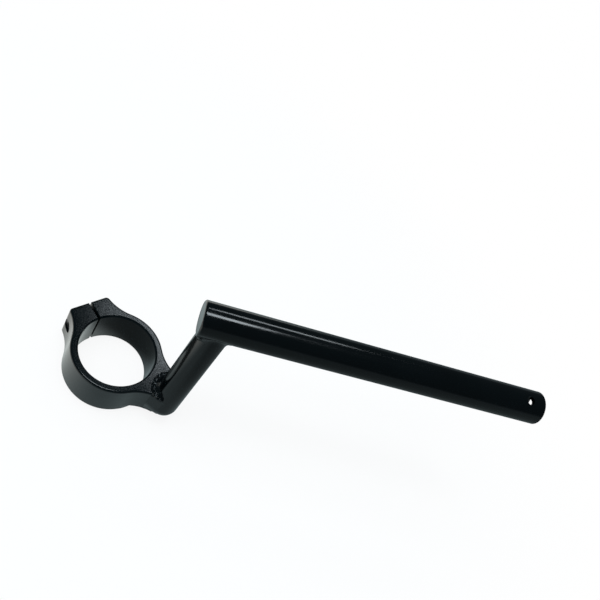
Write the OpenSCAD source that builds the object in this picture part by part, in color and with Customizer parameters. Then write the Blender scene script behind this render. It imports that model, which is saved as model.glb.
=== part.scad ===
// Raised clip-on handlebar for one side of a motorcycle: a split fork clamp with an arm,
// a leaning riser post welded to the arm, and a handlebar tube welded on top of the post.
// Millimetres. The origin is the middle of the fork bore, +Z runs up the fork leg and
// the arm points along +X.

/* [Fork clamp] */
// Diameter of the fork leg that the clamp grips
fork_d = 50; // [46:0.5:54]
// Height of the clamp along the fork leg
clamp_h = 28; // [24:1:34]
// Wall of the ring around the bore
ring_wall = 5; // [4:0.5:7]
// Chamfer at both mouths of the bore
bore_chamfer = 1.1; // [0.5:0.1:1.5]
// Rounding of the clamp's outer edges
edge_r = 1.6; // [1:0.1:2]

/* [Split and ears] */
// Direction of the split, seen from above, from the arm
slit_angle = 153.3; // [135:0.1:170]
// Width of the split
slit_w = 1.6; // [1:0.1:2.5]
// Chamfer along the edges of the split
slit_chamfer = 0.5; // [0.2:0.05:0.8]
// How far the ears stand out beyond the bore
ear_reach = 13.6; // [12:0.1:16]
// Half width of the ear that holds the bolt head
head_ear = 15; // [14:0.1:17]
// Half width of the threaded ear
nut_ear = 13.8; // [12:0.1:15]
// Corner radius of the ears
ear_corner_r = 2.6; // [2.3:0.1:3]
// Radius of the hollow that runs from the head ear into the ring
head_ear_blend_r = 32; // [22:1:36]
// Radius of the hollow that runs from the threaded ear into the ring
nut_ear_blend_r = 30; // [26:1:34]

/* [Pinch bolt] */
// Thread diameter of the pinch bolt
bolt_d = 5; // [4:0.5:6]
// Diameter of the bolt's cap head
bolt_head_d = 8.5; // [7:0.1:9]
// Height of the cap head
bolt_head_h = 5; // [4:0.5:6]
// Width across flats of the head's hex socket
bolt_hex = 4; // [3:0.5:5]
// Depth of the hex socket
bolt_hex_depth = 2.5; // [2:0.1:3]
// Depth of the head's top below the ear's face
bolt_sink = 0.8; // [0.2:0.1:1.5]
// Distance of the bolt from the bore's wall
bolt_offset = 8.4; // [8:0.1:9]
// Clearance around the shank in its plain hole, on the diameter
shank_clearance = 0.5; // [0.3:0.1:0.8]
// Clearance around the head in its pocket, on the diameter
head_clearance = 0.5; // [0.3:0.1:0.8]
// Clearance between the bolt's thread and the tapped hole, on the diameter
thread_clearance = 0.1; // [0.05:0.05:0.2]

/* [Arm] */
// Distance from the bore's centre to the middle of the arm's rounded tip
arm_l = 44; // [43:0.5:46]
// Radius of the arm's tip in plan
arm_tip_r = 10.5; // [10:0.1:11]
// Radius of the hollows that run from the arm into the ring
arm_blend_r = 30; // [26:1:36]
// Where the arm is cut off square, short of the riser's axis
arm_cut_back = 3; // [2:0.5:4]
// How far the arm's underside lies above the ring's bottom face
arm_lift = 6; // [4:0.5:8]

/* [Riser] */
// Diameter of the riser post
riser_d = 19; // [18:0.1:20]
// Sideways place of the riser's axis at the clamp's mid height
riser_side = -4; // [-4.5:0.1:-2]
// Height of the bar's axis above the clamp's mid height, along the riser
riser_l = 90; // [70:1:120]
// Lean of the riser from upright
riser_lean = 8.6; // [6:0.1:10]
// Direction of the lean, seen from above, from the arm
riser_lean_dir = 96.7; // [90:0.1:105]

/* [Handlebar tube] */
// Diameter of the bar
bar_d = 22.2; // [22:0.1:25.4]
// Wall of the bar
bar_wall = 3; // [2:0.1:3.4]
// Length of the bar from end to end
bar_l = 233.5; // [180:1:280]
// Rise of the bar towards its outer end
bar_rise = 6; // [0:0.1:10]
// Direction of the bar, seen from above, from the arm
bar_sweep = 21.6; // [10:0.1:35]
// How far the bar's inner end passes the riser's axis
bar_overhang = 13; // [12:0.1:16]
// Rounding of the bar's open end
bar_end_r = 0.8; // [0.4:0.1:1.2]
// Diameter of the lock hole near the open end
lock_hole_d = 5.5; // [4:0.1:7]
// Distance of the lock hole from the open end
lock_hole_from_end = 12; // [9:0.5:16]
// Turn of the lock hole around the bar, from straight up
lock_hole_turn = 14; // [0:1:30]

/* [End cap] */
// Thickness of the cap in the bar's inner end
cap_t = 3; // [2:0.5:5]
// Width of the bevel around the cap that the weld fills
cap_bevel = 1.6; // [1.2:0.1:1.8]
// Chamfer ground on the cap's weld
cap_grind = 0.8; // [0.4:0.1:1]

/* [Welds] */
// Leg of the foot weld on the arm's top face
foot_leg = 6.4; // [4:0.1:7]
// Leg of the foot weld up the riser
foot_rise = 5; // [3:0.1:6]
// Height of the ripples in the foot weld
ripple = 0.7; // [0.2:0.1:1]
// Number of ripples in the foot weld
ripple_count = 9; // [6:1:12]
// Leg of the ground weld between riser and bar
top_leg = 3.6; // [2:0.1:4.5]

/* [Hidden] */
$fn = 96;
eps = 0.01;
past = 1;
arc_step = 5;
corner_step = 15;
round_step = 15;

bore_r = fork_d / 2;
ring_r = bore_r + ring_wall;
top_z = clamp_h / 2;
arm_floor = -top_z + arm_lift;
arm_end = arm_l - arm_cut_back;
riser_r = riser_d / 2;
bar_r = bar_d / 2;
bar_bore_r = bar_r - bar_wall;
cap_r = bar_r - cap_bevel;
ear_end = bore_r + ear_reach;
bolt_u = bore_r + bolt_offset;
bolt_seat = head_ear - bolt_sink - bolt_head_h;
// Room that the cutting shapes take beyond the part
far = 4 * ring_r;
// Depth to which a weld's blank reaches into its neighbours before they are cut away
bite = 1.2;
// How far the cut under the arm stays off the ring's wall
ring_skin = 0.08;
// Thickness of the ground weld at its feather edges
weld_edge = 0.2;
// Height of the foot weld's toe
foot_toe = 1.3;
// Middle of the foot weld's slope up the riser, as shares of its leg and rise
foot_slope = [0.35, 0.5];
// Where the toe's crest begins and ends, as shares of the leg
foot_crest = [0.66, 0.85];
// Height of the toe's outer side, as a share of the toe
foot_side = 0.4;
// Angle of riser that the foot weld's bead goes round
foot_span = 170;
foot_stations = 60;
top_stations = 45;
// Where the ground flanks of the foot weld start on the arm
flank_start = arm_l - riser_r;

riser_dir = [sin(riser_lean) * cos(riser_lean_dir), sin(riser_lean) * sin(riser_lean_dir), cos(riser_lean)];
riser_y = [-sin(riser_lean_dir), cos(riser_lean_dir), 0];
riser_x = cross(riser_y, riser_dir);
bar_dir = [cos(bar_rise) * cos(bar_sweep), cos(bar_rise) * sin(bar_sweep), sin(bar_rise)];
riser_base = [arm_l, riser_side, 0];
riser_top_mark = riser_base + riser_dir * (top_z / riser_dir[2]);
// Middle of the riser's ball foot
ball = riser_base + (arm_floor + riser_r) * riser_dir;
// Heights of the ground weld's sections, up to where the arm's top edge rounds over
cheek_levels = concat([for (a = [-75:15:0]) ball[2] + riser_r * sin(a)], [top_z - edge_r]);
joint = riser_base + riser_l * riser_dir;
bar_start = joint - bar_overhang * bar_dir;

// Unit vector in the plane at angle a
function dir2(a) = [cos(a), sin(a)];
// Angle of a vector in the plane
function ang(v) = atan2(v[1], v[0]);
// Angle b, reached from angle a by turning left
function left_of(a, b) = a + (((b - a) % 360) + 360) % 360;
// Angle b, reached from angle a by turning right
function right_of(a, b) = a - (((a - b) % 360) + 360) % 360;

// Centre of the circle of radius rb that touches two circles from outside, on side s of
// the line from the first to the second
function bridge(c1, r1, c2, r2, rb, s) =
    let (d = norm(c2 - c1), e = (c2 - c1) / d, a = r1 + rb, b = r2 + rb)
    let (x = (d * d + a * a - b * b) / (2 * d), y = sqrt(a * a - x * x))
    c1 + x * e + s * y * [-e[1], e[0]];

// Points along an arc with the outward normal of each: [x, y, normal x, normal y].
// side is 1 on an outside curve and -1 in a hollow
function arc(c, r, a0, a1, side, step) =
    let (n = max(2, ceil(abs(a1 - a0) / step)))
    [for (i = [0:n]) let (v = dir2(a0 + (a1 - a0) * i / n))
        [c[0] + r * v[0], c[1] + r * v[1], side * v[0], side * v[1]]];

// An outside curve round c from the side of p to the side of q
function crown(c, r, p, q, step) =
    let (a0 = ang(p - c)) arc(c, r, a0, left_of(a0, ang(q - c)), 1, step);
// A hollow round c from the side of p to the side of q
function hollow(c, r, p, q) =
    let (a0 = ang(p - c)) arc(c, r, a0, right_of(a0, ang(q - c)), -1, arc_step);

// The clamp seen from above: tip of the arm, ring, ear, ear, ring, joined by hollows
function clamp_outline() =
    let (o = [0, 0], tip = [arm_l, 0], u = dir2(slit_angle), v = dir2(slit_angle - 90))
    let (ear_mid = ear_end - ear_corner_r)
    let (nut = ear_mid * u + (nut_ear - ear_corner_r) * v)
    let (head = ear_mid * u - (head_ear - ear_corner_r) * v)
    let (arm_left = bridge(o, ring_r, tip, arm_tip_r, arm_blend_r, 1))
    let (arm_right = bridge(o, ring_r, tip, arm_tip_r, arm_blend_r, -1))
    let (nut_side = bridge(o, ring_r, nut, ear_corner_r, nut_ear_blend_r, -1))
    let (head_side = bridge(o, ring_r, head, ear_corner_r, head_ear_blend_r, 1))
    concat(
        crown(tip, arm_tip_r, arm_right, arm_left, 2 * arc_step),
        hollow(arm_left, arm_blend_r, tip, o),
        crown(o, ring_r, arm_left, nut_side, arc_step),
        hollow(nut_side, nut_ear_blend_r, o, nut),
        crown(nut, ear_corner_r, nut_side, nut + u, corner_step),
        crown(head, ear_corner_r, head + u, head_side, corner_step),
        hollow(head_side, head_ear_blend_r, head, o),
        crown(o, ring_r, head_side, arm_right, arc_step),
        hollow(arm_right, arm_blend_r, o, tip));

// The outline with each point that repeats the one before it left out
function tidy(p) =
    [for (i = [0:len(p) - 1]) let (q = p[(i + len(p) - 1) % len(p)])
        if (norm([p[i][0] - q[0], p[i][1] - q[1]]) > eps) p[i]];

outline = tidy(clamp_outline());
// Centre of the hollow in the arm's flank on the riser's side
arm_right = bridge([0, 0], ring_r, [arm_l, 0], arm_tip_r, arm_blend_r, -1);

// The outline drawn in by a distance, as plain points
function drawn_in(d) = [for (p = outline) [p[0] - d * p[2], p[1] - d * p[3]]];

// Heights and insets of the levels that round the outer edges over
levels = concat(
    [for (a = [90:-round_step:0]) [-top_z + edge_r * (1 - sin(a)), edge_r * (1 - cos(a))]],
    [for (a = [0:round_step:90]) [top_z - edge_r * (1 - sin(a)), edge_r * (1 - cos(a))]]);

// Ring, ears and arm as one solid with rounded edges
module clamp_blank() {
    n = len(outline);
    m = len(levels);
    rings = [for (l = levels) for (p = drawn_in(l[1])) [p[0], p[1], l[0]]];
    sides = [for (k = [0:m - 2]) for (i = [0:n - 1]) let (j = (i + 1) % n)
        each [[k * n + i, (k + 1) * n + i, (k + 1) * n + j], [k * n + i, (k + 1) * n + j, k * n + j]]];
    floor_fan = [for (i = [0:n - 1]) [i, (i + 1) % n, m * n]];
    top_fan = [for (i = [0:n - 1]) [(m - 1) * n + (i + 1) % n, (m - 1) * n + i, m * n + 1]];
    polyhedron(concat(rings, [[0, 0, -top_z], [0, 0, top_z]]), concat(sides, floor_fan, top_fan), convexity = 6);
}

// Places its children with +X along the split and +Y towards the threaded ear
module at_slit() {
    rotate([0, 0, slit_angle]) mirror([0, 1, 0]) children();
}

// Places its children on the bolt's axis, with +Z from the head towards the thread
module at_bolt() {
    at_slit() translate([bolt_u, 0, 0]) rotate([-90, 0, 0]) children();
}

// Places its children with +Z up the riser, from its axis at the clamp's mid height
module at_riser() {
    translate(riser_base) rotate([0, riser_lean, riser_lean_dir]) children();
}

// Places its children with +Z along the bar, from its closed inner end
module at_bar() {
    translate(bar_start) rotate([0, 90 - bar_rise, bar_sweep]) children();
}

// Ring with a rounded bottom edge that the cut under the arm leaves standing
module ring_foot() {
    rotate_extrude() {
        translate([0, -top_z - 2 * past]) square([ring_r - edge_r, clamp_h]);
        translate([ring_r - edge_r, -top_z + edge_r]) circle(r = edge_r + ring_skin);
        translate([0, -top_z + edge_r]) square([ring_r + ring_skin, clamp_h]);
    }
}

// Space under the raised arm
module under_arm() {
    difference() {
        translate([0, -far, -top_z - past]) cube([far, 2 * far, arm_lift + past]);
        ring_foot();
    }
}

// The fork bore with a chamfer at each mouth
module fork_bore() {
    cylinder(h = clamp_h + 2 * past, r = bore_r, center = true);
    for (side = [0, 1]) mirror([0, 0, side]) translate([0, 0, top_z - bore_chamfer])
        cylinder(h = bore_chamfer + eps, r1 = bore_r, r2 = bore_r + bore_chamfer + eps);
}

// The split through the ears, with chamfers along its top, bottom and outer edges
module split_cut() {
    v_side = (slit_w / 2 + slit_chamfer + past) * sqrt(2);
    run = ear_reach + ring_wall;
    at_slit() {
        translate([ear_end + past - run, -slit_w / 2, -top_z - past]) cube([run, slit_w, clamp_h + 2 * past]);
        for (z = [-top_z - past, top_z + past]) translate([ear_end - run / 2, 0, z]) rotate([45, 0, 0])
            cube([run + 4 * past, v_side, v_side], center = true);
        translate([ear_end + past, 0, 0]) rotate([0, 0, 45])
            cube([v_side, v_side, clamp_h + 2 * past], center = true);
    }
}

// Pocket for the bolt's head, plain hole for its shank and tapped hole for its thread
module bolt_holes() {
    at_bolt() {
        translate([0, 0, -far]) cylinder(h = far - bolt_seat, d = bolt_head_d + head_clearance);
        translate([0, 0, -bolt_seat - past]) cylinder(h = bolt_seat + past, d = bolt_d + shank_clearance);
        cylinder(h = far, d = bolt_d + thread_clearance);
    }
}

// Split ring, ears and arm, hollowed at the arm's end to take the riser
module clamp() {
    color("#17181a") difference() {
        clamp_blank();
        fork_bore();
        split_cut();
        bolt_holes();
        under_arm();
        translate([arm_end, -far, -far]) cube(2 * far);
        riser_blank();
    }
}

// Cap screw that draws the ears together
module pinch_bolt() {
    color("#2a2b2d") at_bolt() {
        difference() {
            translate([0, 0, -bolt_seat - bolt_head_h]) cylinder(h = bolt_head_h, d = bolt_head_d);
            translate([0, 0, -bolt_seat - bolt_head_h - past])
                cylinder(h = bolt_hex_depth + past, d = bolt_hex / cos(30), $fn = 6);
        }
        translate([0, 0, -bolt_seat]) cylinder(h = bolt_seat + nut_ear - 2 * past, d = bolt_d);
    }
}

// Round post with a ball foot, hollowed at the top to fit the bar
module riser() {
    color("#0d0e0f") difference() {
        riser_blank();
        at_bar() translate([0, 0, -far]) cylinder(h = 2 * far, r = bar_r);
    }
}

// Bar with a rounded open end, a lock hole, and a step and bevel for the cap and its weld
module bar_tube() {
    color("#0b0c0d") at_bar() difference() {
        union() {
            cylinder(h = bar_l - bar_end_r, r = bar_r);
            translate([0, 0, bar_l - bar_end_r]) cylinder(h = bar_end_r, r = bar_r - bar_end_r);
            translate([0, 0, bar_l - bar_end_r]) rotate_extrude()
                translate([bar_r - bar_end_r, 0]) circle(r = bar_end_r);
        }
        translate([0, 0, -past]) cylinder(h = bar_l + 2 * past, r = bar_bore_r);
        translate([0, 0, -past]) cylinder(h = cap_t + past, r = cap_r);
        bevel_space();
        rotate([0, 0, lock_hole_turn]) translate([0, 0, bar_l - lock_hole_from_end]) rotate([0, -90, 0])
            cylinder(h = bar_d, d = lock_hole_d);
    }
}

// Disc that closes the bar's inner end
module end_cap() {
    color("#0b0c0d") at_bar() cylinder(h = cap_t, r = cap_r);
}

// Bevel that is turned on the bar's closed end for the weld
module bevel_space() {
    difference() {
        translate([0, 0, -past]) cylinder(h = past + cap_bevel, r = bar_r + past);
        translate([0, 0, -past]) cylinder(h = past, r = cap_r);
        cylinder(h = cap_bevel, r1 = cap_r, r2 = bar_r);
    }
}

// Weld in the bevel around the cap, ground flush with a small chamfer
module cap_weld() {
    color("#0b0c0d") at_bar() difference() {
        union() {
            cylinder(h = cap_grind, r1 = bar_r - cap_grind, r2 = bar_r);
            translate([0, 0, cap_grind]) cylinder(h = cap_bevel - cap_grind, r = bar_r);
        }
        cylinder(h = cap_bevel, r1 = cap_r, r2 = bar_r);
    }
}

// Solid through a row of like sections, each a ring of points that turns left as seen
// from the next one. closed joins the last section to the first
module through_sections(sections, closed) {
    n = len(sections[0]);
    m = len(sections);
    last = closed ? m - 1 : m - 2;
    skin = [for (k = [0:last]) for (i = [0:n - 1]) let (j = (i + 1) % n, q = (k + 1) % m)
        each [[k * n + i, q * n + i, q * n + j], [k * n + i, q * n + j, k * n + j]]];
    ends = closed ? [] : [[for (i = [0:n - 1]) i], [for (i = [n - 1:-1:0]) (m - 1) * n + i]];
    polyhedron([for (s = sections) each s], concat(skin, ends), convexity = 8);
}

// Section of the foot weld at station t, from 0 to 1 around the riser: a rippled toe on
// the arm and a smooth slope up the riser
function foot_section(t) =
    let (a = 180 + foot_span * (t - 0.5), swell = pow(max(sin(180 * t), 0.02), 0.5))
    let (wave = ripple * abs(sin(180 * ripple_count * t)), leg = foot_leg * swell + 0.4 * wave)
    let (toe = foot_toe * swell + wave, rise = foot_rise * swell, lean = riser_dir / riser_dir[2])
    [for (p = [[-bite, -bite], [-bite, rise], [weld_edge, rise], [foot_slope[0] * leg, foot_slope[1] * rise],
               [foot_crest[0] * leg, toe], [foot_crest[1] * leg, toe], [leg, foot_side * toe], [leg, -bite]])
        riser_top_mark + (riser_r + p[0]) * [cos(a), sin(a), 0] + p[1] * lean];

// The riser's outside, from its ball foot up, turned about its own axis
module riser_blank(turn = 0) {
    at_riser() rotate([0, 0, turn]) translate([0, 0, arm_floor + riser_r]) {
        sphere(r = riser_r);
        cylinder(h = riser_l - arm_floor - riser_r, r = riser_r);
    }
}

// Rippled bead where the riser stands on the arm's top face
module foot_weld() {
    color("#101112") difference() {
        through_sections([for (i = [0:foot_stations]) foot_section(i / foot_stations)], false);
        translate([-far, -far, top_z - far]) cube([2 * far, 2 * far, far]);
        at_riser() rotate([0, 0, -90]) cylinder(h = riser_l / 2, r = riser_r);
    }
}

// Point where a line from root in plan passes just outside the riser at height z, on side s
function riser_touch(root, z, s) =
    let (mid = riser_base + riser_dir * (max(z, ball[2]) / riser_dir[2]), drop = max(0, ball[2] - z))
    let (r = sqrt(pow(riser_r + weld_edge, 2) - drop * drop), to = root - [mid[0], mid[1]])
    [mid[0], mid[1]] + r * dir2(ang(to) + s * acos(r / norm(to)));

// Wedge from a corner of the arm to the line where it touches the riser, on side s
module cheek(root, s) {
    inside = [ball[0], ball[1]];
    through_sections([for (z = cheek_levels) let (touch = riser_touch(root, z, s))
        [for (p = s > 0 ? [inside, root, touch] : [inside, touch, root]) [p[0], p[1], z]]], false);
}

// Space beside the arm's near flank
module beside_arm() {
    flank = [for (p = hollow(arm_right, arm_blend_r, [0, 0], [arm_l, 0])) [p[0], p[1]]];
    translate([0, 0, -far]) linear_extrude(2 * far)
        polygon(concat(flank, [[flank[len(flank) - 1][0], -far], [flank[0][0], -far]]));
}

// Ground weld that carries the arm's near flank out to the riser and fills its far corner
module flank_weld() {
    near = arm_right[1] + sqrt(pow(arm_blend_r, 2) - pow(flank_start - arm_right[0], 2)) - weld_edge;
    corner = sqrt(pow(arm_tip_r, 2) - pow(arm_cut_back, 2)) - weld_edge;
    color("#101112") difference() {
        union() {
            intersection() {
                cheek([flank_start, near], 1);
                beside_arm();
            }
            intersection() {
                cheek([arm_end, corner], -1);
                translate([arm_end, -far, -far]) cube(2 * far);
            }
        }
        riser_blank(-90);
    }
}

// Point of the bar's surface nearest to p, drawn d into the metal and kept on the bar's length
function on_bar(p, d) =
    let (w = p - joint, along = w * bar_dir, q = w - along * bar_dir)
    joint + max(along, -bar_overhang + cap_grind) * bar_dir + q * ((bar_r - d) / norm(q));

// Section of the ground weld at angle a around the riser: from the line where riser and bar
// meet, one leg down the riser, one out along the bar, and a hollow between them
function top_section(a) =
    let (out = cos(a) * riser_x + sin(a) * riser_y, k = out * bar_dir, bz = riser_dir * bar_dir)
    let (half = riser_r * k * bz, free = 1 - bz * bz)
    let (drop = (half - sqrt(half * half - free * (riser_r * riser_r * (1 - k * k) - bar_r * bar_r))) / free)
    let (root = joint + riser_r * out + drop * riser_dir)
    let (low = root - top_leg * riser_dir + weld_edge * out, wide = on_bar(root + top_leg * out, -weld_edge))
    let (pull = 0.75 * root + 0.125 * (low + wide))
    concat(
        [root - bite * out + bite * riser_dir, on_bar(wide, bite)],
        [for (t = [0:0.25:1]) t * t * low + 2 * t * (1 - t) * pull + (1 - t) * (1 - t) * wide],
        [low - bite * out]);

// Smooth weld where the riser meets the bar
module top_weld() {
    color("#0d0e0f") difference() {
        through_sections([for (i = [0:top_stations - 1]) top_section(360 * (i + 0.5) / top_stations)], true);
        at_riser() translate([0, 0, riser_l / 2]) cylinder(h = riser_l, r = riser_r);
        at_bar() translate([0, 0, -far]) cylinder(h = 2 * far, r = bar_r);
    }
}

clamp();
pinch_bolt();
riser();
bar_tube();
end_cap();
foot_weld();
flank_weld();
top_weld();
cap_weld();
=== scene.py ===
"""Raised clip-on handlebar for one side of a motorcycle.

A split fork clamp with a short arm, a leaning riser post welded to the arm and a handlebar
tube welded across the top of the post, all under black paint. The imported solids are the
frame; the welds, the pinch bolt, the closed end and the clamp's skin are built here.
Sizes in the dataclasses are millimetres, in the frame of the part: the origin is the middle
of the fork bore, +Z runs up the fork leg and the arm points along +X.
"""

import logging
import math
from dataclasses import dataclass, field
from enum import Enum

import bpy
import numpy as np
from mathutils import Matrix


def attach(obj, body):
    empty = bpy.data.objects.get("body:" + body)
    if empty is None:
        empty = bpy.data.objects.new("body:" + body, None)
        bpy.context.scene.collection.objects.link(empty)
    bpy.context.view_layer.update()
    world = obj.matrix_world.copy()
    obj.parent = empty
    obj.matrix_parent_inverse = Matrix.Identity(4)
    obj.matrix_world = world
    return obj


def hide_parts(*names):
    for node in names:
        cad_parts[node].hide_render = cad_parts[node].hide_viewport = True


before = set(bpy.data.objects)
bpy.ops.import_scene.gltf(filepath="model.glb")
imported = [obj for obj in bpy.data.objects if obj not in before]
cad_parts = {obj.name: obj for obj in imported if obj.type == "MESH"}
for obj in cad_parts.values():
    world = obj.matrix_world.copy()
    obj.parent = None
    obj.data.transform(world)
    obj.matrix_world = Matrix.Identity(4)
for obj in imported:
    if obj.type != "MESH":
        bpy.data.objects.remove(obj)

LOG = logging.getLogger("handlebar")
MM = 0.001
# In plan, the grain and its painted glints are at full strength on the half of the piece that lies this way.
GRAIN_AND_GLINT_SIDE = (0.45, 0.89, 0.0)


class Coat(Enum):
    """Material slots of the record."""

    CLAMP = "clamp_coat"
    TUBE = "tube_coat"
    WELD = "weld_coat"
    BOLT = "bolt_steel"


def unit(v: np.ndarray) -> np.ndarray:
    """Vector or rows of vectors at length one."""
    return v / np.linalg.norm(v, axis=-1, keepdims=True)


def plan_dir(angle: np.ndarray | float) -> np.ndarray:
    """Unit vectors in the plan at angles in radians: (cos, sin)."""
    return np.stack([np.cos(angle), np.sin(angle)], axis=-1)


@dataclass(frozen=True)
class Layout:
    """Sizes that the sub-assemblies share, as the construction has them."""

    ring_r: float = 30.0
    top_z: float = 14.0
    edge_r: float = 1.6
    arm_floor: float = -8.0
    arm_l: float = 44.0
    arm_tip_r: float = 10.5
    arm_blend_r: float = 30.0
    arm_end: float = 41.0
    riser_r: float = 9.5
    riser_side: float = -4.0
    riser_l: float = 90.0
    riser_lean: float = math.radians(8.6)
    riser_lean_dir: float = math.radians(96.7)
    bar_r: float = 11.1
    bar_overhang: float = 13.0
    bar_rise: float = math.radians(6.0)
    bar_sweep: float = math.radians(21.6)
    slit_angle: float = math.radians(153.3)

    @property
    def riser_dir(self) -> np.ndarray:
        """Unit vector up the riser."""
        s = math.sin(self.riser_lean)
        return np.array([*(s * plan_dir(self.riser_lean_dir)), math.cos(self.riser_lean)])

    @property
    def riser_base(self) -> np.ndarray:
        """The riser's axis at the clamp's mid height."""
        return np.array([self.arm_l, self.riser_side, 0.0])

    @property
    def bar_dir(self) -> np.ndarray:
        """Unit vector along the bar, from its closed end outwards."""
        c = math.cos(self.bar_rise)
        return np.array([*(c * plan_dir(self.bar_sweep)), math.sin(self.bar_rise)])

    @property
    def joint(self) -> np.ndarray:
        """Where the axes of riser and bar meet."""
        return self.riser_base + self.riser_l * self.riser_dir

    @property
    def ball(self) -> np.ndarray:
        """Middle of the riser's ball foot."""
        return self.riser_base + (self.arm_floor + self.riser_r) * self.riser_dir


SIZES = Layout()


# Meshes


def mesh_object(name: str, points: np.ndarray, loops: np.ndarray, counts: np.ndarray,
                crease: float) -> bpy.types.Object:
    """Makes an object at the origin from plain arrays.

    Args:
        name: the piece's name.
        points: corner places in millimetres, one row each.
        loops: corner numbers of all faces in one row.
        counts: how many corners each face has.
        crease: angle in degrees above which an edge stays sharp.

    Returns:
        The object, smooth shaded, with area-weighted normals.
    """
    mesh = bpy.data.meshes.new(name)
    mesh.vertices.add(len(points))
    mesh.vertices.foreach_set("co", (points * MM).astype(np.float32).ravel())
    mesh.loops.add(len(loops))
    mesh.loops.foreach_set("vertex_index", loops.astype(np.int32))
    mesh.polygons.add(len(counts))
    starts = np.concatenate([[0], np.cumsum(counts)[:-1]]).astype(np.int32)
    mesh.polygons.foreach_set("loop_start", starts)
    mesh.polygons.foreach_set("use_smooth", np.ones(len(counts), bool))
    mesh.update(calc_edges=True)
    mesh.validate()
    mesh.set_sharp_from_angle(angle=math.radians(crease))
    made = bpy.data.objects.new(name, mesh)
    bpy.context.scene.collection.objects.link(made)
    soft = made.modifiers.new("even_shading", "WEIGHTED_NORMAL")
    soft.keep_sharp = True
    return made


def loft(name: str, rings: np.ndarray, wrap: bool = False, crease: float = 40.0) -> bpy.types.Object:
    """Skin through a row of like rings: point (k, i) joins (k, i + 1) and (k + 1, i).

    The rings close on themselves. With wrap the last ring joins the first, otherwise each
    end is closed by one flat face. The side that faces out is found from the sign of the
    enclosed volume, a sum of a . (b x c) over the faces.

    Args:
        name: the piece's name.
        rings: places in millimetres, with shape (rings, points, 3).
        wrap: True for a skin that runs round and meets itself.
        crease: angle in degrees above which an edge stays sharp.

    Returns:
        The object.
    """
    m, n, _ = rings.shape
    grid = np.arange(m * n).reshape(m, n)
    nxt = np.roll(grid, -1, axis=0) if wrap else grid[1:]
    low = grid if wrap else grid[:-1]
    quads = np.stack([low, np.roll(low, -1, 1), np.roll(nxt, -1, 1), nxt], -1).reshape(-1, 4)
    points = rings.reshape(-1, 3)
    a, b, c = (points[quads[:, i]] for i in (0, 1, 2))
    d = points[quads[:, 3]]
    volume = np.einsum("ij,ij->", a, np.cross(b, c)) + np.einsum("ij,ij->", a, np.cross(c, d))
    ends = [] if wrap else [grid[0][::-1], grid[-1]]
    for e in ends:
        p = points[e]
        volume += np.einsum("ij,ij->", np.broadcast_to(p[0], p[1:-1].shape), np.cross(p[1:-1], p[2:]))
    if volume < 0:
        quads, ends = quads[:, ::-1], [e[::-1] for e in ends]
    loops = np.concatenate([quads.ravel(), *ends])
    counts = np.array([4] * len(quads) + [len(e) for e in ends])
    return mesh_object(name, points, loops, counts, crease)


def skin_of(node: str, name: str, crease: float) -> bpy.types.Object:
    """Copy of a CAD node with its loose triangles joined, so that it can be shaded smoothly.

    Corners that agree to a thousandth of a millimetre become one, and triangles that
    lose an edge by it are left out.

    Args:
        node: the CAD node.
        name: the copy's name.
        crease: angle in degrees above which an edge stays sharp.

    Returns:
        The copy.
    """
    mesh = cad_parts[node].data
    co = np.zeros(len(mesh.vertices) * 3, np.float32)
    mesh.vertices.foreach_get("co", co)
    corner = np.zeros(len(mesh.loops), np.int32)
    mesh.loops.foreach_get("vertex_index", corner)
    keys = np.round(co.reshape(-1, 3) / MM, 3)
    points, joined = np.unique(keys, axis=0, return_inverse=True)
    faces = joined.ravel()[corner].reshape(-1, 3)
    whole = (faces != np.roll(faces, 1, 1)).all(1)
    faces = faces[whole]
    return mesh_object(name, points.astype(float), faces.ravel(), np.full(len(faces), 3), crease)


# Finishes


def new_group(name: str, inputs: dict[str, float], outputs: list[str]) -> bpy.types.ShaderNodeTree:
    """Empty shader group with number sockets.

    Args:
        name: the group's name.
        inputs: socket names with their default values.
        outputs: names of the number sockets that it puts out.

    Returns:
        The group, with its input and output nodes in place.
    """
    tree = bpy.data.node_groups.new(name, "ShaderNodeTree")
    for key, value in inputs.items():
        tree.interface.new_socket(key, in_out="INPUT", socket_type="NodeSocketFloat").default_value = value
    for key in outputs:
        tree.interface.new_socket(key, in_out="OUTPUT", socket_type="NodeSocketFloat")
    tree.nodes.new("NodeGroupInput").name = "in"
    tree.nodes.new("NodeGroupOutput").name = "out"
    return tree


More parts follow.
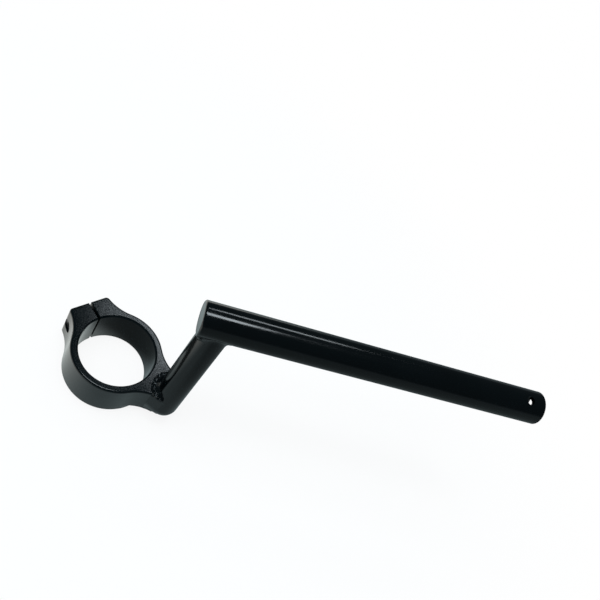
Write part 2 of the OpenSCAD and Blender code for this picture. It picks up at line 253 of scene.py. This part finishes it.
class Wiring:
    """Short way to place nodes in a tree and to join them."""

    def __init__(self, tree: bpy.types.ShaderNodeTree) -> None:
        """Keeps the tree."""
        self.tree = tree

    def add(self, kind: str, values: dict | None = None, **facts: object) -> bpy.types.Node:
        """Places a node.

        Args:
            kind: Blender's name for the node.
            values: socket names with a number, colour, or a socket to join.
            facts: settings of the node itself.

        Returns:
            The node.
        """
        node = self.tree.nodes.new(kind)
        for key, value in facts.items():
            setattr(node, key, value)
        for key, value in (values or {}).items():
            self.put(value, node.inputs[key])
        return node

    def put(self, value: object, socket: bpy.types.NodeSocket) -> None:
        """Sets a socket, or joins another socket to it."""
        if isinstance(value, bpy.types.NodeSocket):
            self.tree.links.new(value, socket)
        else:
            socket.default_value = value

    def math(self, how: str, a: object, b: object = 0.0, clamp: bool = False) -> bpy.types.NodeSocket:
        """One sum of two numbers.

        Args:
            how: Blender's name for the operation.
            a: first number or socket.
            b: second number or socket.
            clamp: keeps the result between 0 and 1.

        Returns:
            The result's socket.
        """
        return self.add("ShaderNodeMath", {0: a, 1: b}, operation=how, use_clamp=clamp).outputs[0]

    def remap(self, value: object, low: float, high: float, out_low: float = 0.0,
              out_high: float = 1.0) -> bpy.types.NodeSocket:
        """Carries a number smoothly from one range to another.

        Args:
            value: number or socket.
            low: where the input range starts.
            high: where it ends.
            out_low: result at low.
            out_high: result at high.

        Returns:
            The result's socket.
        """
        node = self.add("ShaderNodeMapRange", interpolation_type="SMOOTHSTEP")
        for key, item in zip(("Value", "From Min", "From Max", "To Min", "To Max"),
                             (value, low, high, out_low, out_high)):
            self.put(item, node.inputs[key])
        return node.outputs[0]

    def mix(self, share: object, a: object, b: object) -> bpy.types.NodeSocket:
        """Blend of two colours.

        Args:
            share: how much of the second one.
            a: first colour or socket.
            b: second colour or socket.

        Returns:
            The colour's socket.
        """
        node = self.add("ShaderNodeMix", data_type="RGBA")
        self.put(share, node.inputs[0])
        self.put(a, node.inputs[6])
        self.put(b, node.inputs[7])
        return node.outputs[2]


class Effects:
    """Shader groups that more than one finish uses, each built once."""

    def __init__(self) -> None:
        """Builds the groups."""
        self.grain = self._grain()
        self.peel = self._peel()
        self.dust = self._dust()

    @staticmethod
    def _noise(w: Wiring, size: object, detail: float, rough: float = 0.5) -> bpy.types.NodeSocket:
        """Noise whose blobs are about size metres across."""
        place = w.add("ShaderNodeTexCoord").outputs["Object"]
        scale = w.math("DIVIDE", 1.0, size)
        node = w.add("ShaderNodeTexNoise", {"Vector": place, "Scale": scale, "Detail": detail,
                                            "Roughness": rough})
        return node.outputs["Fac"]

    def _grain(self) -> bpy.types.ShaderNodeTree:
        """Powder coat grain: fine noise on coarser noise, and the crests of it as flecks, which the clamp and weld
        paints colour light as painted glints.
        """
        tree = new_group("powder_grain_and_glints", {"Size": 0.0006, "Flecks": 0.5}, ["Height", "Fleck", "Tone"])
        w = Wiring(tree)
        size = tree.nodes["in"].outputs["Size"]
        fine = self._noise(w, size, 3.0, 0.6)
        broad = self._noise(w, w.math("MULTIPLY", size, 7.0), 2.0)
        height = w.math("ADD", w.math("MULTIPLY", fine, 0.8), w.math("MULTIPLY", broad, 0.2))
        crest = w.remap(fine, 0.55, 0.74)
        out = tree.nodes["out"].inputs
        w.put(height, out["Height"])
        w.put(w.math("MULTIPLY", crest, tree.nodes["in"].outputs["Flecks"]), out["Fleck"])
        w.put(w.remap(broad, 0.3, 0.7), out["Tone"])
        return tree

    def _peel(self) -> bpy.types.ShaderNodeTree:
        """Orange peel of sprayed gloss paint: slow swells with a faint fine texture."""
        tree = new_group("orange_peel", {"Size": 0.004}, ["Height", "Tone"])
        w = Wiring(tree)
        size = tree.nodes["in"].outputs["Size"]
        swell = self._noise(w, size, 1.0)
        fine = self._noise(w, w.math("MULTIPLY", size, 0.18), 2.0)
        out = tree.nodes["out"].inputs
        w.put(w.math("ADD", swell, w.math("MULTIPLY", fine, 0.06)), out["Height"])
        w.put(w.remap(self._noise(w, w.math("MULTIPLY", size, 6.0), 3.0), 0.3, 0.7), out["Tone"])
        return tree

    def _dust(self) -> bpy.types.ShaderNodeTree:
        """Sparse dust nibs: small dots round the cell points of a coarse pattern."""
        tree = new_group("dust_nibs", {"Spacing": 0.006, "Width": 0.0003}, ["Nib"])
        w = Wiring(tree)
        place = w.add("ShaderNodeTexCoord").outputs["Object"]
        spacing = tree.nodes["in"].outputs["Spacing"]
        cells = w.add("ShaderNodeTexVoronoi", {"Vector": place, "Scale": w.math("DIVIDE", 1.0, spacing)})
        reach = w.math("DIVIDE", tree.nodes["in"].outputs["Width"], spacing)
        near = w.math("SUBTRACT", 1.0, w.math("DIVIDE", cells.outputs["Distance"], reach), clamp=True)
        w.put(near, tree.nodes["out"].inputs["Nib"])
        return tree


@dataclass(frozen=True)
class Paint:
    """Black paint with its texture, dust nibs and light grain flecks, which on the clamp and welds are painted
    glints.
    """

    name: str
    slot: Coat
    colour: tuple[float, float, float]
    speck_and_glint_colour: tuple[float, float, float]
    gloss: float
    gloss_change: float
    grain_size: float
    flecks: float
    grain_depth: float
    peel_size: float
    peel_depth: float
    metal: float = 0.0
    top_only: float = 0.0
    one_side: float = 0.0

    def build(self, effects: Effects) -> bpy.types.Material:
        """Makes the material.

        The grain fades off faces that don't look up by top_only, and by one_side on the half of the piece that lies
        away from the arm and the threaded ear. The light flecks on the grain's crests fade the same way, so on the
        clamp and welds they are painted glints, lighter where the faces look up.

        Args:
            effects: the shared shader groups.

        Returns:
            The material, with colour, roughness and bump from its nodes.
        """
        made = bpy.data.materials.new(self.name)
        made.use_nodes = True
        tree = made.node_tree
        shader = tree.nodes["Principled BSDF"]
        w = Wiring(tree)
        grain = w.add("ShaderNodeGroup", node_tree=effects.grain)
        grain.inputs["Size"].default_value = self.grain_size
        grain.inputs["Flecks"].default_value = self.flecks
        peel = w.add("ShaderNodeGroup", node_tree=effects.peel)
        peel.inputs["Size"].default_value = self.peel_size
        dust = w.add("ShaderNodeGroup", node_tree=effects.dust)
        up = w.add("ShaderNodeSeparateXYZ", {0: w.add("ShaderNodeNewGeometry").outputs["Normal"]})
        level = w.remap(up.outputs["Z"], 0.6, 0.95, 1.0 - self.top_only, 1.0)
        place = w.add("ShaderNodeTexCoord").outputs["Object"]
        half = w.add("ShaderNodeVectorMath", {0: place, 1: GRAIN_AND_GLINT_SIDE}, operation="DOT_PRODUCT")
        level = w.math("MULTIPLY", level, w.remap(half.outputs["Value"], -0.004, 0.014, 1.0 - self.one_side, 1.0))
        # Painted glints: light flecks on the grain's crests, kept to upward faces and to one half of the piece, plus
        # the dust nibs, in the paint's lighter second colour.
        speck_and_glint = w.math("MULTIPLY", grain.outputs["Fleck"], level)
        mark = w.math("ADD", speck_and_glint, w.math("MULTIPLY", dust.outputs["Nib"], 0.5), clamp=True)
        dark = (*self.colour, 1.0)
        body = w.mix(peel.outputs["Tone"], dark, tuple(1.25 * c for c in self.colour) + (1.0,))
        w.put(w.mix(mark, body, (*self.speck_and_glint_colour, 1.0)), shader.inputs["Base Color"])
        rough = w.math("ADD", w.math("MULTIPLY", peel.outputs["Tone"], self.gloss_change), self.gloss)
        rough = w.math("ADD", rough, w.math("MULTIPLY", mark, 0.12), clamp=True)
        w.put(rough, shader.inputs["Roughness"])
        depth = w.math("MULTIPLY", w.math("MULTIPLY", grain.outputs["Height"], self.grain_depth), level)
        swell = w.math("MULTIPLY", peel.outputs["Height"], self.peel_depth)
        nib = w.math("MULTIPLY", dust.outputs["Nib"], 0.00001)
        height = w.math("ADD", w.math("ADD", depth, swell), nib)
        bump = w.add("ShaderNodeBump", {"Height": height, "Strength": 1.0, "Distance": 1.0})
        w.put(bump.outputs["Normal"], shader.inputs["Normal"])
        shader.inputs["Metallic"].default_value = self.metal
        shader.inputs["IOR"].default_value = 1.5
        return made


# Each paint's second colour is the light colour of its dust nibs and grain flecks. On the clamp and welds those
# flecks are painted glints.
CLAMP_PAINT = Paint("clamp_satin_black", Coat.CLAMP, (0.0016, 0.0034, 0.0042), (0.024, 0.034, 0.041), 0.14, 0.05,
                    0.0006, 0.5, 0.00006, 0.006, 0.00002, top_only=0.85, one_side=0.9)
TUBE_PAINT = Paint("tube_gloss_black", Coat.TUBE, (0.0008, 0.0018, 0.0023), (0.015, 0.02, 0.023), 0.12, 0.04,
                   0.0006, 0.0, 0.0, 0.0045, 0.000018)
WELD_PAINT = Paint("weld_gloss_black", Coat.WELD, (0.001, 0.0022, 0.0028), (0.2, 0.23, 0.245), 0.1, 0.06,
                   0.0011, 0.8, 0.00008, 0.0022, 0.00008, top_only=0.9)
BOLT_OXIDE = Paint("bolt_black_oxide", Coat.BOLT, (0.02, 0.021, 0.023), (0.09, 0.09, 0.092), 0.32, 0.1,
                   0.0004, 0.35, 0.00002, 0.002, 0.00001, metal=0.75)


# Sub-assemblies


@dataclass
class Piece:
    """What every sub-assembly does with a finished object."""

    sizes: Layout = field(default=SIZES)

    def dress(self, made: bpy.types.Object, paint: bpy.types.Material, coat: Coat, *nodes: str) -> bpy.types.Object:
        """Paints a new piece, puts it on the body and lets it stand for CAD nodes.

        Args:
            made: the piece.
            paint: its material.
            coat: the record's slot for it.
            nodes: CAD nodes that it replaces.

        Returns:
            The piece.
        """
        made.data.materials.clear()
        made.data.materials.append(paint)
        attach(made, "root")
        if nodes:
            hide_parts(*nodes)
        LOG.info("%s: %d points, %s", made.name, len(made.data.vertices), coat.value)
        return made


@dataclass
class ForkClamp(Piece):
    """Split ring with its ears and arm, and the bolt that draws it tight."""

    crease: float = 32.0
    bolt_u: float = 33.4
    head_r: float = 4.25
    head_h: float = 5.0
    head_chamfer: float = 0.5
    seat: float = 9.2
    shank_r: float = 2.5
    shank_end: float = 11.8
    hex_flats: float = 4.0
    hex_depth: float = 2.5
    pitch: float = 0.8
    thread_depth: float = 0.38
    thread_start: float = -1.0
    knurls: int = 36
    knurl_depth: float = 0.12
    around: int = 144

    def build(self, clamp: bpy.types.Material, bolt: bpy.types.Material) -> None:
        """Builds the clamp's skin and the bolt."""
        body = skin_of("clamp", "fork_clamp_body", self.crease)
        self.dress(body, clamp, Coat.CLAMP, "clamp")
        screw = loft("pinch_bolt_screw", self._screw(), crease=38.0)
        self.dress(screw, bolt, Coat.BOLT, "pinch_bolt")

    def _screw(self) -> np.ndarray:
        """Rings of the cap screw along its axis.

        The radius is a sum of ring shapes: the shank's radius less a triangle wave of
        height and angle for the thread, the head's radius less the size of a cosine for
        the knurl, and flats / 2 / cos(angle within a sixth) for the hex socket.

        Returns:
            Rings with shape (rings, around, 3) in millimetres.
        """
        turn = np.linspace(0.0, 2 * np.pi, self.around, endpoint=False)
        ones = np.ones_like(turn)
        sixth = (turn + np.pi / 6) % (np.pi / 3) - np.pi / 6
        hexagon = self.hex_flats / 2 / np.cos(sixth)
        knurled = self.head_r - self.knurl_depth * np.abs(np.cos(self.knurls / 2 * turn))
        top = -self.seat - self.head_h
        rows: list[tuple[float, np.ndarray]] = [(self.shank_end, 0.75 * self.shank_r * ones)]
        for z in np.arange(self.shank_end - 0.05, self.thread_start, -self.pitch / 8):
            wave = np.abs(((z / self.pitch + turn / (2 * np.pi)) % 1.0) - 0.5) * 2
            rows.append((z, self.shank_r - self.thread_depth * wave - max(0.0, 0.6 - (self.shank_end - z))))
        rows += [(self.thread_start - 0.3, self.shank_r * ones), (-self.seat + 0.3, self.shank_r * ones),
                 (-self.seat, (self.shank_r + 0.3) * ones), (-self.seat, (self.head_r - 0.4) * ones),
                 (-self.seat - 0.2, knurled), (top + self.head_chamfer + 0.5, knurled),
                 (top + self.head_chamfer, self.head_r * ones - self.knurl_depth),
                 (top + 0.1, (self.head_r - self.head_chamfer) * ones),
                 (top, (self.head_r - self.head_chamfer - 0.15) * ones), (top, hexagon + 0.25),
                 (top + 0.22, hexagon), (top + self.hex_depth, hexagon), (top + self.hex_depth + 0.5, 0.3 * hexagon)]
        height = np.array([r[0] for r in rows])[:, None]
        radius = np.array([r[1] for r in rows])
        a = self.sizes.slit_angle
        across, along = np.array([*plan_dir(a), 0.0]), np.array([*plan_dir(a - np.pi / 2), 0.0])
        side = np.array([0.0, 0.0, 1.0])
        spot = across * self.bolt_u
        flat = np.cos(turn)[:, None] * across + np.sin(turn)[:, None] * side
        return spot + height[..., None] * along + radius[..., None] * flat


@dataclass
class FootWeld(Piece):
    """Rippled bead where the riser stands on the arm's top face."""

    leg: float = 6.2
    taper: float = 0.27
    rise: float = 5.0
    toe: float = 0.6
    ripple: float = 1.05
    ripples: int = 11
    span: float = math.radians(170)
    stations: int = 420
    across: int = 44
    bite: float = 1.0

    def build(self, paint: bpy.types.Material) -> None:
        """Builds the bead."""
        bead = loft("foot_weld_bead", self._rings(), crease=60.0)
        self.dress(bead, paint, Coat.WELD, "foot_weld")

    def _rings(self) -> np.ndarray:
        """Sections of the bead round the riser.

        At share t of the way round, the bead is swell = sqrt(sin(pi t)) of its full size,
        and its leg narrows by taper over the first half, as a squared sine.
        Across it, at share u of the leg, its height is the larger of a hollow slope,
        rise (1 - u / 0.86) ^ 1.25, and a round crest, crest sqrt(1 - ((u - 0.74) / 0.26) ^ 2).
        The crest swells and sinks as |sin| of the ripples, which bend back at the bead's
        edge, and slow sines make no two ripples alike.

        Returns:
            Rings with shape (stations, points, 3) in millimetres.
        """
        s = self.sizes
        t = np.linspace(0.0, 1.0, self.stations)[:, None]
        u = np.linspace(0.02, 1.0, self.across)[None, :]
        swell = np.sqrt(np.maximum(np.sin(np.pi * t), 0.02))
        bent = t + 0.03 * (u - 0.75) ** 2 * np.sign(0.5 - t) + 0.006 * np.sin(31 * t + 1.3)
        wave = np.abs(np.sin(np.pi * self.ripples * bent)) ** 0.7
        uneven = 0.82 + 0.12 * np.sin(17 * t + 0.6) + 0.06 * np.sin(41 * t + 9 * u)
        fine = 0.05 * np.sin(np.pi * 4 * self.ripples * bent) * np.exp(-((u - 0.7) / 0.35) ** 2)
        crest = (self.toe * swell + self.ripple * wave * uneven + fine)
        dome = np.sqrt(np.maximum(0.0, 1.0 - ((u - 0.74) / 0.26) ** 2))
        slope = self.rise * swell * np.maximum(0.0, 1.0 - u / 0.86) ** 1.25
        height = np.log(np.exp(3 * crest * dome) + np.exp(3 * slope)) / 3 - np.log(2) / 3 * (1 - dome)
        narrow = 1.0 - self.taper * np.sin(np.pi * np.minimum(t, 0.5)) ** 2
        leg = (self.leg * narrow * swell + 0.35 * self.ripple * wave) * np.ones_like(u)
        out = s.riser_r + u * leg
        below = np.full_like(t, -0.5)
        outs = np.concatenate([0 * t + s.riser_r - self.bite, 0 * t + s.riser_r - self.bite, out, out[:, -1:]], 1)
        ups = np.concatenate([below, height[:, :1], height, below], 1)
        angle = np.pi + self.span * (t - 0.5)
        mark = s.riser_base + s.riser_dir * (s.top_z / s.riser_dir[2])
        lean = s.riser_dir / s.riser_dir[2]
        flat = np.concatenate([plan_dir(angle[:, 0]), np.zeros_like(t)], 1)
        return mark + outs[..., None] * flat[:, None, :] + ups[..., None] * lean


@dataclass
class FlankWeld(Piece):
    """Ground welds that carry the arm's near flank to the riser and fill its far corner."""

    edge: float = 0.12
    start: float = 34.5
    tuck: float = 0.9
    levels: int = 48

    def build(self, paint: bpy.types.Material) -> None:
        """Builds both cheeks, in the clamp's paint. The first stands for the node."""
        s = self.sizes
        blend = s.ring_r + s.arm_blend_r
        tip = s.arm_tip_r + s.arm_blend_r
        x = (s.arm_l ** 2 + blend ** 2 - tip ** 2) / (2 * s.arm_l)
        hollow = np.array([x, -math.sqrt(blend ** 2 - x ** 2)])
        near = hollow[1] + math.sqrt(s.arm_blend_r ** 2 - (self.start - x) ** 2) - self.edge
        corner = math.sqrt(s.arm_tip_r ** 2 - (s.arm_l - s.arm_end) ** 2) - self.edge
        one = loft("flank_weld_near", self._cheek(np.array([self.start, near]), 1.0), crease=50.0)
        self.dress(one, paint, Coat.WELD, "flank_weld")
        two = loft("flank_weld_far", self._cheek(np.array([s.arm_end, corner]), -1.0), crease=50.0)
        self.dress(two, paint, Coat.WELD)

    def _cheek(self, root: np.ndarray, side: float) -> np.ndarray:
        """Sections of one cheek from the ball's underside to the arm's top edge.

        Each section is a triangle in plan: the riser's middle, the root on the arm, and
        the point where a line from the root just passes the riser's circle at that height,
        whose radius is sqrt((r + edge) ^ 2 - (tuck drop) ^ 2) below the ball's middle.

        Args:
            root: place on the arm in plan.
            side: 1 for the near cheek and -1 for the far one.

        Returns:
            Rings with shape (levels, 3, 3) in millimetres.
        """
        s = self.sizes
        z = np.linspace(s.arm_floor, s.top_z - s.edge_r, self.levels)
        mid = s.riser_base + s.riser_dir * (np.maximum(z, s.ball[2]) / s.riser_dir[2])[:, None]
        drop = self.tuck * np.maximum(0.0, s.ball[2] - z)
        r = np.sqrt((s.riser_r + self.edge) ** 2 - drop ** 2)
        to = root - mid[:, :2]
        far = np.linalg.norm(to, axis=1)
        angle = np.arctan2(to[:, 1], to[:, 0]) + side * np.arccos(r / far)
        touch = mid[:, :2] + r[:, None] * plan_dir(angle)
        inside = np.broadcast_to(s.ball[:2], touch.shape)
        start = np.broadcast_to(root, touch.shape)
        plan = np.stack([inside, start, touch], 1)
        return np.concatenate([plan, np.broadcast_to(z[:, None, None], (len(z), 3, 1))], 2)


@dataclass
class TopWeld(Piece):
    """Ground weld where the riser meets the bar."""

    leg: float = 3.6
    edge: float = 0.15
    bite: float = 1.2
    stations: int = 240
    across: int = 14
    ripple: float = 0.05
    ripples: int = 34
    grind: float = 0.8

    def build(self, paint: bpy.types.Material) -> None:
        """Builds the fillet."""
        fillet = loft("top_weld_fillet", self._rings(), wrap=True, crease=60.0)
        self.dress(fillet, paint, Coat.WELD, "top_weld")

    def _on_bar(self, p: np.ndarray, depth: float) -> np.ndarray:
        """Points of the bar's surface nearest to p, depth into the metal."""
        s = self.sizes
        w = p - s.joint
        along = w @ s.bar_dir
        q = w - along[..., None] * s.bar_dir
        along = np.maximum(along, -s.bar_overhang + self.grind)
        return s.joint + along[..., None] * s.bar_dir + (s.bar_r - depth) * unit(q)

    def _rings(self) -> np.ndarray:
        """Sections of the fillet round the riser.

        At angle a the root is where the line up the riser's side meets the bar, the lower
        root of a square equation in the drop below the axes' crossing. From it one leg
        runs down the riser and one out along the bar, and the face between them is the
        curve (1 - t) ^ 2 wide + 2 t (1 - t) pull + t ^ 2 low, with faint ripples.

        Returns:
            Rings with shape (stations, points, 3) in millimetres.
        """
        s = self.sizes
        a = np.linspace(0.0, 2 * np.pi, self.stations, endpoint=False)
        ry = np.array([-math.sin(s.riser_lean_dir), math.cos(s.riser_lean_dir), 0.0])
        rx = np.cross(ry, s.riser_dir)
        out = np.cos(a)[:, None] * rx + np.sin(a)[:, None] * ry
        k, bz = out @ s.bar_dir, float(s.riser_dir @ s.bar_dir)
        half, free = s.riser_r * k * bz, 1 - bz * bz
        drop = (half - np.sqrt(half ** 2 - free * (s.riser_r ** 2 * (1 - k * k) - s.bar_r ** 2))) / free
        root = s.joint + s.riser_r * out + drop[:, None] * s.riser_dir
        low = root - self.leg * s.riser_dir + self.edge * out
        wide = self._on_bar(root + self.leg * out, -self.edge)
        pull = 0.75 * root + 0.125 * (low + wide)
        t = np.linspace(0.0, 1.0, self.across)[None, :, None]
        face = (1 - t) ** 2 * wide[:, None] + 2 * t * (1 - t) * pull[:, None] + t ** 2 * low[:, None]
        push = unit(0.5 * (low + wide) - root)[:, None]
        swell = self.ripple * np.sin(self.ripples * a)[:, None, None] * np.sin(np.pi * t)
        face = face + push * swell
        inner = (root - self.bite * out + self.bite * s.riser_dir)[:, None]
        return np.concatenate([inner, self._on_bar(wide, self.bite)[:, None], face,
                               (low - self.bite * out)[:, None]], 1)


@dataclass
class ClosedEnd(Piece):
    """Disc and ring weld that close the bar's inner end, ground smooth as one face."""

    depth: float = 3.0
    bevel: float = 1.6
    grind: float = 0.8
    disc_r: float = 9.5
    sink: float = 0.05
    around: int = 160

    def build(self, paint: bpy.types.Material) -> None:
        """Builds the face as a turned shape."""
        face = loft("closed_end_face", self._rings(), crease=55.0)
        self.dress(face, paint, Coat.TUBE, "end_cap", "cap_weld")

    def _rings(self) -> np.ndarray:
        """Rings of the turned face: each profile point is a depth along the bar and a radius.

        The face is flat with a faint groove where disc and weld meet, a rounded chamfer
        leads to the bar's skin, and the back slopes in along the weld's bevel.

        Returns:
            Rings with shape (profile, around, 3) in millimetres.
        """
        s = self.sizes
        turn = np.linspace(0.0, 2 * np.pi, self.around, endpoint=False)
        quarter = np.linspace(0.0, 1.0, 7)[:, None]
        rim = s.bar_r - self.grind
        bend = (1 - quarter) ** 2 * [0.0, rim - 0.15] + 2 * quarter * (1 - quarter) * [0.12, rim + 0.42]
        bend = bend + quarter ** 2 * [self.grind + 0.1, s.bar_r]
        front = np.array([[self.sink, 0.4], [self.sink, 4.0], [self.sink, self.disc_r - 0.5],
                          [self.sink + 0.05, self.disc_r - 0.15], [self.sink + 0.02, self.disc_r + 0.1],
                          [0.0, self.disc_r + 0.35]])
        back = np.array([[self.bevel - 0.02, s.bar_r], [self.bevel, s.bar_r - 0.3], [0.5, self.disc_r],
                         [self.depth, self.disc_r], [self.depth, 0.4]])
        profile = np.concatenate([front, bend, back])
        start = s.joint - s.bar_overhang * s.bar_dir
        side = unit(np.cross([0.0, 0.0, 1.0], s.bar_dir))
        up = np.cross(s.bar_dir, side)
        flat = np.cos(turn)[:, None] * side + np.sin(turn)[:, None] * up
        return start + profile[:, :1, None] * s.bar_dir + profile[:, 1:, None] * flat


@dataclass
class Tubes(Piece):
    """Riser post and handlebar tube, whose solids are shown as they are."""

    def build(self, paint: bpy.types.Material) -> None:
        """Paints both tubes."""
        for node in ("riser", "bar_tube"):
            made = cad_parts[node]
            made.data.materials.clear()
            made.data.materials.append(paint)
            LOG.info("%s: painted, %s", node, Coat.TUBE.value)


# Studio


@dataclass(frozen=True)
class SoftBox:
    """Rectangular lamp that looks at a point.

    Places and sizes are metres. The level is how bright its face is, where 1 is a white
    surface, and shows is False for a lamp that gloss doesn't mirror.
    """

    name: str
    place: tuple[float, float, float]
    at: tuple[float, float, float]
    size: tuple[float, float]
    level: float
    shows: bool = True


SOFT_BOXES = (
    SoftBox("strip", (0.0, 0.76, 1.06), (0.07, 0.02, 0.1), (0.35, 0.12), 6.5),
    SoftBox("overhead", (-0.03, 0.03, 1.3), (-0.03, 0.03, 0.0), (0.5, 0.25), 9.5),
    SoftBox("fill", (-0.3, -0.1, 1.3), (0.0, 0.0, 0.0), (1.1, 1.1), 2.7, shows=False),
)


@dataclass
class Studio:
    """Camera, lamps, floor and world."""

    eye: tuple[float, float, float] = (0.031356, -0.219265, 0.383501)
    right: tuple[float, float, float] = (0.79748, 0.37421, 0.47328)
    upward: tuple[float, float, float] = (-0.59415, 0.62347, 0.50819)
    backward: tuple[float, float, float] = (-0.10491, -0.68647, 0.71955)
    lens: float = 38.24
    floor_z: float = -0.01405
    floor_r: float = 3.0
    lamp_tint: tuple[float, float, float] = (0.9, 1.0, 1.06)
    ring_shade: tuple[float, float] = (0.001, 0.012)

    def build(self) -> None:
        """Builds the studio."""
        self._camera()
        self._floor()
        self._world()
        for box in SOFT_BOXES:
            self._lamp(box)

    def _camera(self) -> None:
        """Camera at the photograph's angle."""
        data = bpy.data.cameras.new("camera")
        data.lens = self.lens
        data.sensor_width = 36.0
        data.clip_start, data.clip_end = 0.01, 20.0
        made = bpy.data.objects.new("camera", data)
        bpy.context.scene.collection.objects.link(made)
        turn = np.column_stack([self.right, self.upward, self.backward])
        made.matrix_world = Matrix.Translation(self.eye) @ Matrix(turn.tolist()).to_4x4()
        bpy.context.scene.camera = made

    def _lamp(self, box: SoftBox) -> None:
        """Places one soft box.

        Args:
            box: the lamp's facts.
        """
        data = bpy.data.lights.new(box.name, "AREA")
        data.shape = "RECTANGLE"
        data.size, data.size_y = box.size
        data.energy = box.level * math.pi * box.size[0] * box.size[1]
        data.color = self.lamp_tint
        made = bpy.data.objects.new(box.name, data)
        bpy.context.scene.collection.objects.link(made)
        back = unit(np.array(box.place) - np.array(box.at))
        across = unit(np.cross([0.0, 1.0, 0.0] if abs(back[2]) > 0.99 else [0.0, 0.0, 1.0], back))
        turn = np.column_stack([across, np.cross(back, across), back])
        made.matrix_world = Matrix.Translation(box.place) @ Matrix(turn.tolist()).to_4x4()
        made.visible_glossy = box.shows

    def _floor(self) -> None:
        """Pale round floor that is white to the camera and keeps a soft shadow.

        In the gloss it shows a painted reflection, brightest and neutral at the left and dimmer and cooler to the
        right, with a painted shade inside the ring, where the ring would shade it.
        """
        turn = np.linspace(0.0, 2 * np.pi, 64, endpoint=False)
        points = np.concatenate([plan_dir(turn) * self.floor_r, np.full((64, 1), self.floor_z)], 1) / MM
        made = mesh_object("floor", points, np.arange(64), np.array([64]), 30.0)
        paint = bpy.data.materials.new("floor_white")
        paint.use_nodes = True
        tree = paint.node_tree
        tree.nodes.clear()
        w = Wiring(tree)
        place = w.add("ShaderNodeTexCoord").outputs["Object"]
        reach = w.add("ShaderNodeVectorMath", {0: place}, operation="LENGTH").outputs["Value"]
        share = w.remap(reach, 0.2, 0.5, 0.12, 0.0)
        white = w.add("ShaderNodeEmission", {"Color": (1.0, 1.0, 1.0, 1.0), "Strength": 1.0})
        matt = w.add("ShaderNodeBsdfDiffuse", {"Color": (0.97, 0.97, 0.97, 1.0)})
        seen = w.add("ShaderNodeMixShader", {0: share, 1: white.outputs[0], 2: matt.outputs[0]})
        along = w.add("ShaderNodeSeparateXYZ", {0: place}).outputs["X"]
        # Painted reflection: how bright the floor glows to gloss rays, brighter to the left.
        tone = w.math("ADD", w.remap(along, -0.07, 0.02, 0.8, 0.0), w.remap(along, 0.03, 0.11, 0.36, 0.18))
        # Painted shade: the gloss glow is dimmed inside the ring.
        shade = (*self.ring_shade, self.floor_z)
        inside = w.add("ShaderNodeVectorMath", {0: place, 1: shade}, operation="DISTANCE")
        tone = w.math("MULTIPLY", tone, w.remap(inside.outputs["Value"], 0.008, 0.019, 0.25, 1.0))
        tint = w.mix(w.remap(along, -0.06, 0.02, 1.0, 0.0), (0.8, 1.0, 1.03, 1.0), (1.0, 1.02, 0.97, 1.0))
        mirrored = w.add("ShaderNodeEmission", {"Color": tint, "Strength": tone})
        plain = w.add("ShaderNodeBsdfDiffuse", {"Color": (0.6, 0.6, 0.6, 1.0)})
        path = w.add("ShaderNodeLightPath").outputs
        other = w.add("ShaderNodeMixShader", {0: path["Is Glossy Ray"], 1: plain.outputs[0], 2: mirrored.outputs[0]})
        whole = w.add("ShaderNodeMixShader", {0: path["Is Camera Ray"], 1: other.outputs[0], 2: seen.outputs[0]})
        w.add("ShaderNodeOutputMaterial", {"Surface": whole.outputs[0]})
        made.data.materials.append(paint)

    def _world(self) -> None:
        """White to the camera; a dim room to gloss, paler towards the horizon."""
        world = bpy.data.worlds.new("studio")
        bpy.context.scene.world = world
        world.use_nodes = True
        tree = world.node_tree
        tree.nodes.clear()
        w = Wiring(tree)
        ray = w.add("ShaderNodeSeparateXYZ", {0: w.add("ShaderNodeTexCoord").outputs["Generated"]})
        room = w.remap(ray.outputs["Z"], 0.0, 0.2, 0.18, 0.05)
        path = w.add("ShaderNodeLightPath").outputs
        level = w.add("ShaderNodeMix", data_type="FLOAT")
        w.put(path["Is Glossy Ray"], level.inputs[0])
        w.put(0.35, level.inputs[2])
        w.put(room, level.inputs[3])
        dim = w.add("ShaderNodeBackground", {"Color": (0.82, 1.0, 1.08, 1.0), "Strength": level.outputs[0]})
        white = w.add("ShaderNodeBackground", {"Color": (1.0, 1.0, 1.0, 1.0), "Strength": 1.0})
        whole = w.add("ShaderNodeMixShader", {0: path["Is Camera Ray"], 1: dim.outputs[0], 2: white.outputs[0]})
        w.add("ShaderNodeOutputWorld", {"Surface": whole.outputs[0]})


def main() -> None:
    """Builds the sub-assemblies in order, then the studio."""
    logging.basicConfig(level=logging.INFO, format="%(name)s %(message)s")
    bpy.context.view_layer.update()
    effects = Effects()
    clamp, tube, weld, bolt = (p.build(effects) for p in (CLAMP_PAINT, TUBE_PAINT, WELD_PAINT, BOLT_OXIDE))
    ForkClamp().build(clamp, bolt)
    Tubes().build(tube)
    FootWeld().build(weld)
    FlankWeld().build(clamp)
    TopWeld().build(weld)
    ClosedEnd().build(tube)
    Studio().build()
    bpy.context.scene.view_settings.view_transform = "Standard"


if __name__ == "__main__":
    main()
